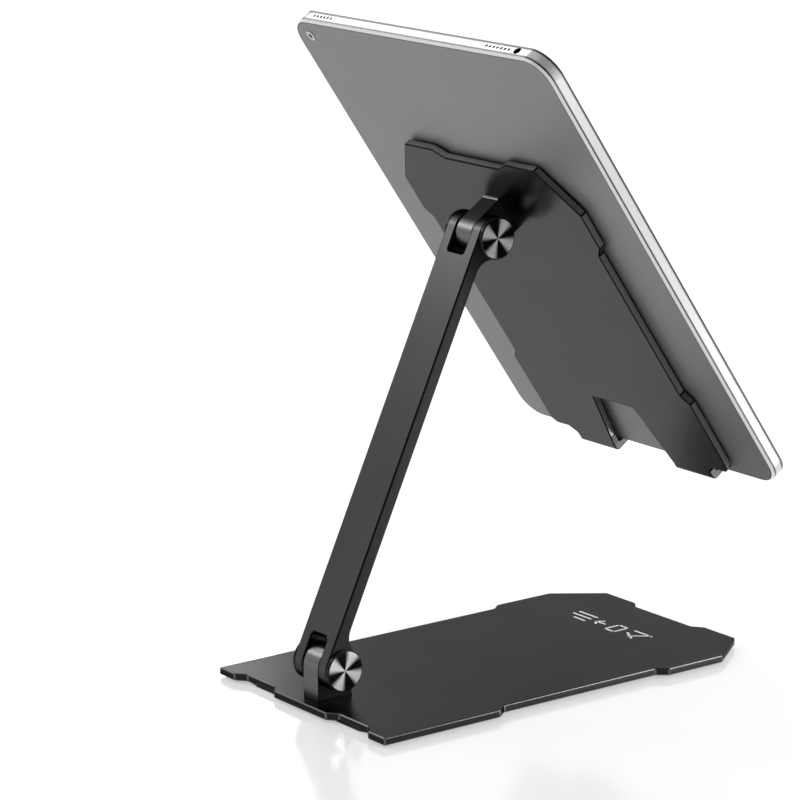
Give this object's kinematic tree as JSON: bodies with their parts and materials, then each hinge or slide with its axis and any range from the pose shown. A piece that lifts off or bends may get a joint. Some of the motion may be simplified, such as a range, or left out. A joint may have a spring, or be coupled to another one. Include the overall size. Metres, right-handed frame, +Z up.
{
  "type": "teleprompter desk stand with tablet display",
  "caption": "Folding aluminium desk stand with two friction hinges holding a tablet display upright as a prompter screen.",
  "frame": {"origin": "middle of the base's outline on the table, below the whole object", "axes": "+X across the stand to the reader's right, -Y towards the reader, +Z up"},
  "size_m": [0.1724, 0.208, 0.2842],
  "materials": {
    "anodised_plate": "matte black anodised plate with bright machined edges",
    "anodised_arm": "matte black anodised bar",
    "anodised_lug": "satin black anodised lug",
    "spun_cap": "spun radial finish with a bevelled rim",
    "steel": "plain zinc-plated steel",
    "washer_plastic": "natural acetal",
    "rubber": "matte silicone rubber",
    "tablet_shell": "bead-blasted anodised aluminium with polished edges",
    "cover_glass": "clear cover glass with a black printed border",
    "display_panel": "lit display panel",
    "battery_wrap": "black foil pouch",
    "circuit_board": "solder mask",
    "lens_glass": "coated lens",
    "flash_lens": "frosted diffuser",
    "black_plastic": "moulded black plastic"
  },
  "bodies": {
    "base": {"base_plate": "anodised_plate", "base_rubber_strips": "rubber", "base_lug": "anodised_lug", "base_lug_screws": "steel"},
    "arm": {"arm": "anodised_arm", "lower_hinge_bolt": "steel", "lower_hinge_nut": "steel", "lower_spring_washers": "steel", "lower_friction_washers": "washer_plastic", "lower_hinge_caps": "spun_cap", "upper_hinge_bolt": "steel", "upper_hinge_nut": "steel", "upper_spring_washers": "steel", "upper_friction_washers": "washer_plastic", "upper_hinge_caps": "spun_cap"},
    "holder": {"holder_plate": "anodised_plate", "holder_lug": "anodised_lug", "holder_lug_screws": "steel", "holder_pad": "rubber", "hook_pads": "rubber"},
    "tablet": {"tablet_back_shell": "tablet_shell", "tablet_cover_glass": "cover_glass", "tablet_display_panel": "display_panel", "tablet_battery_cells": "battery_wrap", "tablet_main_board": "circuit_board", "tablet_shield_can": "steel", "tablet_camera": "lens_glass", "tablet_camera_ring": "spun_cap", "tablet_flash_lens": "flash_lens", "tablet_front_camera": "black_plastic", "tablet_speakers": "black_plastic", "tablet_charge_port": "steel", "tablet_audio_jack": "black_plastic", "tablet_switch_strip": "circuit_board"},
    "power_key": {"power_button": "tablet_shell"},
    "volume_up_key": {"volume_up_button": "tablet_shell"},
    "volume_down_key": {"volume_down_button": "tablet_shell"}
  },
  "joints": [
    {"name": "base_hinge", "type": "hinge", "parent": "base", "child": "arm", "pos_m": [0, 0.0892, 0.0178], "axis": [1, 0, 0], "range_deg": [-30, 22]},
    {"name": "holder_hinge", "type": "hinge", "parent": "arm", "child": "holder", "pos_m": [0, 0.00826, 0.19378], "axis": [1, 0, 0], "range_deg": [-55, 65]},
    {"name": "tablet_lift", "type": "slide", "parent": "holder", "child": "tablet", "axis": [0, 0.5736, 0.8192], "range_m": [0, 0.19]},
    {"name": "power_press", "type": "slide", "parent": "tablet", "child": "power_key", "axis": [-1, 0, 0], "range_m": [0, 0.00035], "stiffness_N_per_m": 2000, "springref_m": -0.0003},
    {"name": "volume_up_press", "type": "slide", "parent": "tablet", "child": "volume_up_key", "axis": [-1, 0, 0], "range_m": [0, 0.00035], "stiffness_N_per_m": 2000, "springref_m": -0.0003},
    {"name": "volume_down_press", "type": "slide", "parent": "tablet", "child": "volume_down_key", "axis": [-1, 0, 0], "range_m": [0, 0.00035], "stiffness_N_per_m": 2000, "springref_m": -0.0003}
  ]
}
